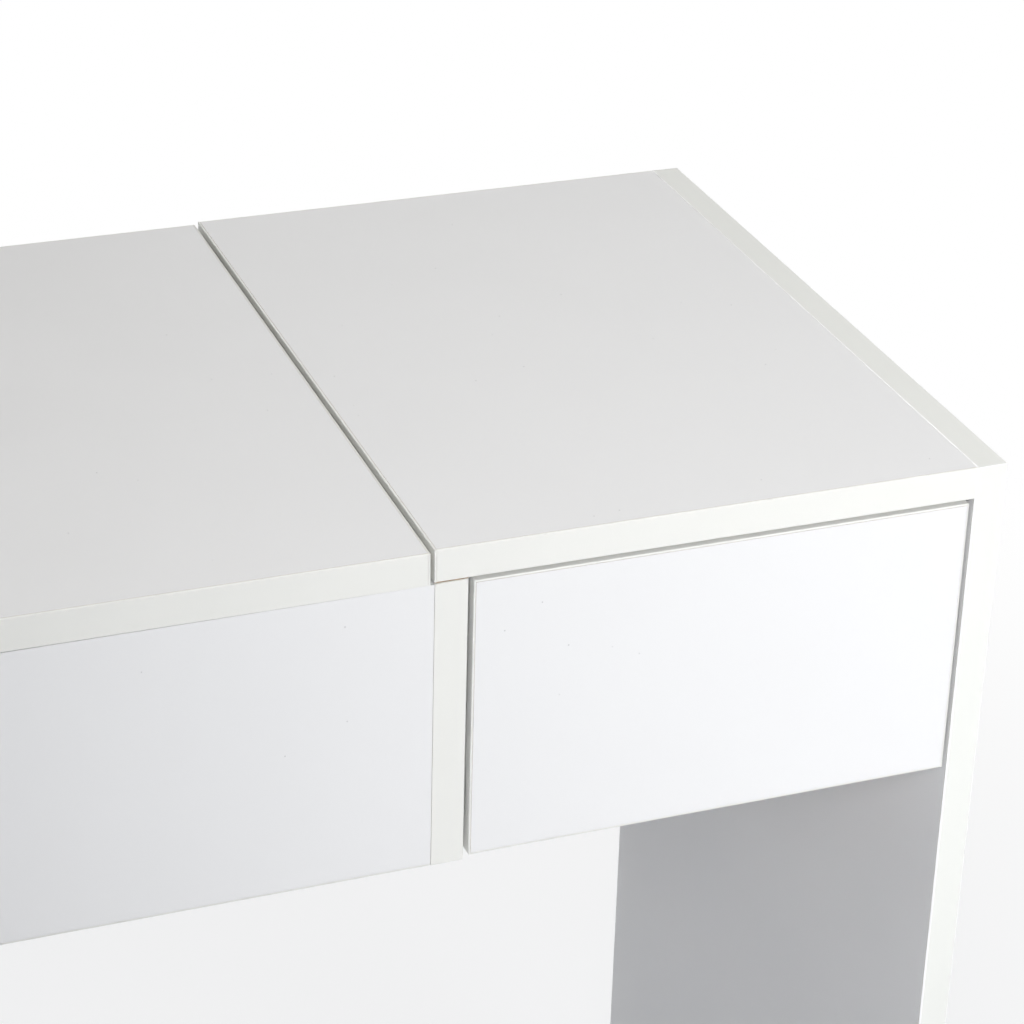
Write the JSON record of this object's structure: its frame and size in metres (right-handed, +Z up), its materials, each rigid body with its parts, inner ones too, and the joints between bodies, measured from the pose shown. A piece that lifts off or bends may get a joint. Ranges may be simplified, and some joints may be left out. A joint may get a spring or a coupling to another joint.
{
  "type": "vanity table",
  "caption": "Small vanity table with a flip-up lid over a mirror and compartment beside a fixed top over a drawer, on slab side panels.",
  "frame": {"origin": "on the floor, in the middle of the table's box", "axes": "+X to the table's right as seen from its front, +Y to its rear (the side with the lid hinges), +Z up"},
  "size_m": [0.8, 0.4065, 0.75],
  "materials": {
    "white_board": "white melamine-faced particle board, banded edges, satin",
    "drawer_board": "white foil-faced particle board, matt",
    "hardboard": "white-faced hardboard",
    "mirror_glass": "silvered glass with a ground edge",
    "steel": "zinc-plated sheet and wire",
    "zinc": "bright zinc plating",
    "nylon": "moulded",
    "rubber": "translucent pad"
  },
  "bodies": {
    "carcass": {"left_side_panel": "white_board", "right_side_panel": "white_board", "divider": "white_board", "fixed_top": "white_board", "front_apron": "white_board", "compartment_back": "white_board", "compartment_floor": "white_board", "drawer_bay_back": "white_board", "glide_left_front": "nylon", "glide_left_rear": "nylon", "glide_right_front": "nylon", "glide_right_rear": "nylon", "cam_disc_apron_left": "zinc", "cam_bolt_apron_left": "zinc", "cam_disc_apron_right": "zinc", "cam_bolt_apron_right": "zinc", "cam_disc_back_left": "zinc", "cam_bolt_back_left": "zinc", "cam_disc_back_right": "zinc", "cam_bolt_back_right": "zinc", "hinge_frame_leaf_left": "steel", "hinge_frame_leaf_right": "steel", "hinge_pin_left": "steel", "hinge_pin_right": "steel", "hinge_screw_frame_left_1": "steel", "hinge_screw_frame_left_2": "steel", "hinge_screw_frame_right_1": "steel", "hinge_screw_frame_right_2": "steel", "stay_wall_bracket_left": "steel", "stay_wall_bracket_right": "steel", "carcass_rail_left": "zinc", "carcass_rail_right": "zinc"},
    "lid": {"lid": "white_board", "mirror": "mirror_glass", "lid_bumper_left": "rubber", "lid_bumper_right": "rubber", "hinge_lid_leaf_left": "steel", "hinge_lid_leaf_right": "steel", "hinge_screw_lid_left_1": "steel", "hinge_screw_lid_left_2": "steel", "hinge_screw_lid_right_1": "steel", "hinge_screw_lid_right_2": "steel", "stay_lid_bracket_left": "steel", "stay_lid_bracket_right": "steel"},
    "stay_lower_arm_left": {"stay_lower_arm_left": "steel", "stay_elbow_rivet_left": "steel"},
    "stay_upper_arm_left": {"stay_upper_arm_left": "steel"},
    "stay_lower_arm_right": {"stay_lower_arm_right": "steel", "stay_elbow_rivet_right": "steel"},
    "stay_upper_arm_right": {"stay_upper_arm_right": "steel"},
    "drawer": {"drawer_front": "white_board", "drawer_side_left": "drawer_board", "drawer_side_right": "drawer_board", "drawer_back": "drawer_board", "drawer_bottom": "hardboard", "drawer_rail_left": "zinc", "drawer_rail_right": "zinc"},
    "ball_cage_left": {"ball_cage_left": "steel"},
    "ball_cage_right": {"ball_cage_right": "steel"}
  },
  "joints": [
    {"name": "lid_hinge", "type": "hinge", "parent": "carcass", "child": "lid", "pos_m": [-0.135, 0.20025, 0.732], "axis": [-1, 0, 0], "range_deg": [0, 95]},
    {"name": "stay_lower_arm_left", "type": "hinge", "parent": "carcass", "child": "stay_lower_arm_left", "pos_m": [-0.381, 0.13716, 0.64189], "axis": [-1, 0, 0], "range_deg": [0, 95]},
    {"name": "stay_upper_arm_left", "type": "hinge", "parent": "lid", "child": "stay_upper_arm_left", "pos_m": [-0.3786, 0.05171, 0.71112], "axis": [-1, 0, 0], "range_deg": [-95, 0]},
    {"name": "stay_lower_arm_right", "type": "hinge", "parent": "carcass", "child": "stay_lower_arm_right", "pos_m": [0.111, 0.13716, 0.64189], "axis": [-1, 0, 0], "range_deg": [0, 95]},
    {"name": "stay_upper_arm_right", "type": "hinge", "parent": "lid", "child": "stay_upper_arm_right", "pos_m": [0.1086, 0.05171, 0.71112], "axis": [-1, 0, 0], "range_deg": [-95, 0]},
    {"name": "drawer_slide", "type": "slide", "parent": "carcass", "child": "drawer", "axis": [0, -1, 0], "range_m": [0, 0.26]},
    {"name": "ball_cage_left", "type": "slide", "parent": "carcass", "child": "ball_cage_left", "axis": [0, -1, 0], "range_m": [0, 0.13]},
    {"name": "ball_cage_right", "type": "slide", "parent": "carcass", "child": "ball_cage_right", "axis": [0, -1, 0], "range_m": [0, 0.13]}
  ],
  "couplings": [
    {"joint": "stay_lower_arm_left", "follows": "lid_hinge", "ratio": 1},
    {"joint": "stay_upper_arm_left", "follows": "lid_hinge", "ratio": -1},
    {"joint": "stay_lower_arm_right", "follows": "lid_hinge", "ratio": 1},
    {"joint": "stay_upper_arm_right", "follows": "lid_hinge", "ratio": -1},
    {"joint": "ball_cage_left", "follows": "drawer_slide", "ratio": 0.5},
    {"joint": "ball_cage_right", "follows": "drawer_slide", "ratio": 0.5}
  ]
}
